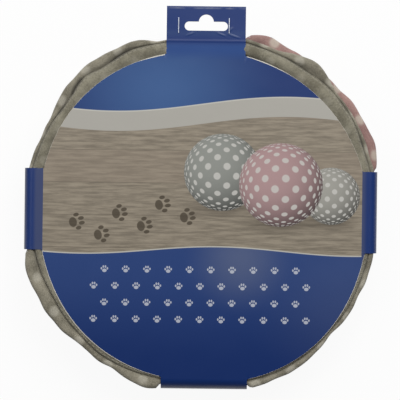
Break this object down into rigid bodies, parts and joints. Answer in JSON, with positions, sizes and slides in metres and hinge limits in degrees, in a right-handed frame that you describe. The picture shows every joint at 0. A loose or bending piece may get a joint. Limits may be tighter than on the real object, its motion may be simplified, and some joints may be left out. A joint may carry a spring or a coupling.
{
  "type": "cat tunnel",
  "caption": "Round collapsible fabric tunnel for cats, pushed flat between spring hoops and held in a card wrap with a hang tab; it draws out along its axis.",
  "frame": {"origin": "on the tunnel's axis, at the underside of the back card that the pack lies on", "axes": "+Z along the tunnel's axis out of the printed front, +Y towards the hang tab, +X to the right of the printed front"},
  "size_m": [0.2656, 0.2866, 0.0405],
  "materials": {
    "grey_fleece": "brushed polyester fleece, warm grey, with small pale dots",
    "pink_fleece": "brushed polyester fleece, dusty pink, with small pale dots",
    "grey_binding": "fleece binding sewn round the hoop, plain warm grey",
    "grey_lining": "thin fleece lining, warm grey",
    "crinkle_film": "thin rustling polyester film",
    "spring_steel": "drawn spring-steel wire",
    "zinc_steel": "zinc-plated steel sleeve",
    "staple_steel": "galvanised staple wire",
    "printed_board": "coated board, printed blue, light gloss",
    "plain_board": "uncoated grey-white back of the board",
    "glue": "hot-melt glue"
  },
  "bodies": {
    "pack_base": {"back_card": "plain_board", "right_arm_glue": "glue", "left_arm_glue": "glue", "bottom_arm_glue": "glue", "tongue_glue": "glue", "hoop_wire_1": "spring_steel", "crimp_sleeve_1": "zinc_steel", "rear_hem": "grey_binding", "fleece_panel_1": "grey_fleece", "crinkle_film_1": "crinkle_film", "lining_panel_1": "grey_lining"},
    "hoop_2": {"hoop_wire_2": "spring_steel", "crimp_sleeve_2": "zinc_steel", "seam_binding_2": "grey_binding", "fleece_panel_2": "pink_fleece", "crinkle_film_2": "crinkle_film", "lining_panel_2": "grey_lining"},
    "hoop_3": {"hoop_wire_3": "spring_steel", "crimp_sleeve_3": "zinc_steel", "seam_binding_3": "grey_binding", "fleece_panel_3": "grey_fleece", "crinkle_film_3": "crinkle_film", "lining_panel_3": "grey_lining"},
    "hoop_4": {"hoop_wire_4": "spring_steel", "crimp_sleeve_4": "zinc_steel", "seam_binding_4": "grey_binding", "fleece_panel_4": "pink_fleece", "crinkle_film_4": "crinkle_film", "lining_panel_4": "grey_lining"},
    "hoop_5": {"hoop_wire_5": "spring_steel", "crimp_sleeve_5": "zinc_steel", "seam_binding_5": "grey_binding", "fleece_panel_5": "grey_fleece", "crinkle_film_5": "crinkle_film", "lining_panel_5": "grey_lining"},
    "hoop_6": {"hoop_wire_6": "spring_steel", "crimp_sleeve_6": "zinc_steel", "front_hem": "grey_binding"},
    "front_card": {"front_card": "printed_board"},
    "right_arm": {"right_arm": "printed_board"},
    "left_arm": {"left_arm": "printed_board"},
    "bottom_arm": {"bottom_arm": "printed_board"},
    "hang_tab": {"hang_tab": "printed_board", "staple_left": "staple_steel", "staple_right": "staple_steel"}
  },
  "joints": [
    {"name": "bay_1_open", "type": "slide", "parent": "pack_base", "child": "hoop_2", "axis": [0, 0, 1], "range_m": [0, 0.09236], "deforming": ["fleece_panel_1", "crinkle_film_1", "lining_panel_1"]},
    {"name": "bay_2_open", "type": "slide", "parent": "hoop_2", "child": "hoop_3", "axis": [0, 0, 1], "range_m": [0, 0.09236], "deforming": ["fleece_panel_2", "crinkle_film_2", "lining_panel_2"]},
    {"name": "bay_3_open", "type": "slide", "parent": "hoop_3", "child": "hoop_4", "axis": [0, 0, 1], "range_m": [0, 0.09236], "deforming": ["fleece_panel_3", "crinkle_film_3", "lining_panel_3"]},
    {"name": "bay_4_open", "type": "slide", "parent": "hoop_4", "child": "hoop_5", "axis": [0, 0, 1], "range_m": [0, 0.09236], "deforming": ["fleece_panel_4", "crinkle_film_4", "lining_panel_4"]},
    {"name": "bay_5_open", "type": "slide", "parent": "hoop_5", "child": "hoop_6", "axis": [0, 0, 1], "range_m": [0, 0.09236], "deforming": ["fleece_panel_5", "crinkle_film_5", "lining_panel_5"]},
    {"name": "front_card_lift", "type": "slide", "parent": "hoop_6", "child": "front_card", "axis": [0, 0, 1], "range_m": [0, 0.15]},
    {"name": "right_arm_fold", "type": "hinge", "parent": "front_card", "child": "right_arm", "pos_m": [0.13225, 0, 0.03905], "axis": [0, -1, 0], "range_deg": [0, 90]},
    {"name": "left_arm_fold", "type": "hinge", "parent": "front_card", "child": "left_arm", "pos_m": [-0.13225, 0, 0.03905], "axis": [0, 1, 0], "range_deg": [0, 90]},
    {"name": "bottom_arm_fold", "type": "hinge", "parent": "front_card", "child": "bottom_arm", "pos_m": [0, -0.13225, 0.03905], "axis": [-1, 0, 0], "range_deg": [0, 90]},
    {"name": "hang_tab_fold", "type": "hinge", "parent": "front_card", "child": "hang_tab", "pos_m": [0, 0.13225, 0.0396], "axis": [1, 0, 0], "range_deg": [0, 90]}
  ],
  "couplings": [
    {"joint": "bay_2_open", "follows": "bay_1_open", "ratio": 1},
    {"joint": "bay_3_open", "follows": "bay_1_open", "ratio": 1},
    {"joint": "bay_4_open", "follows": "bay_1_open", "ratio": 1},
    {"joint": "bay_5_open", "follows": "bay_1_open", "ratio": 1}
  ]
}
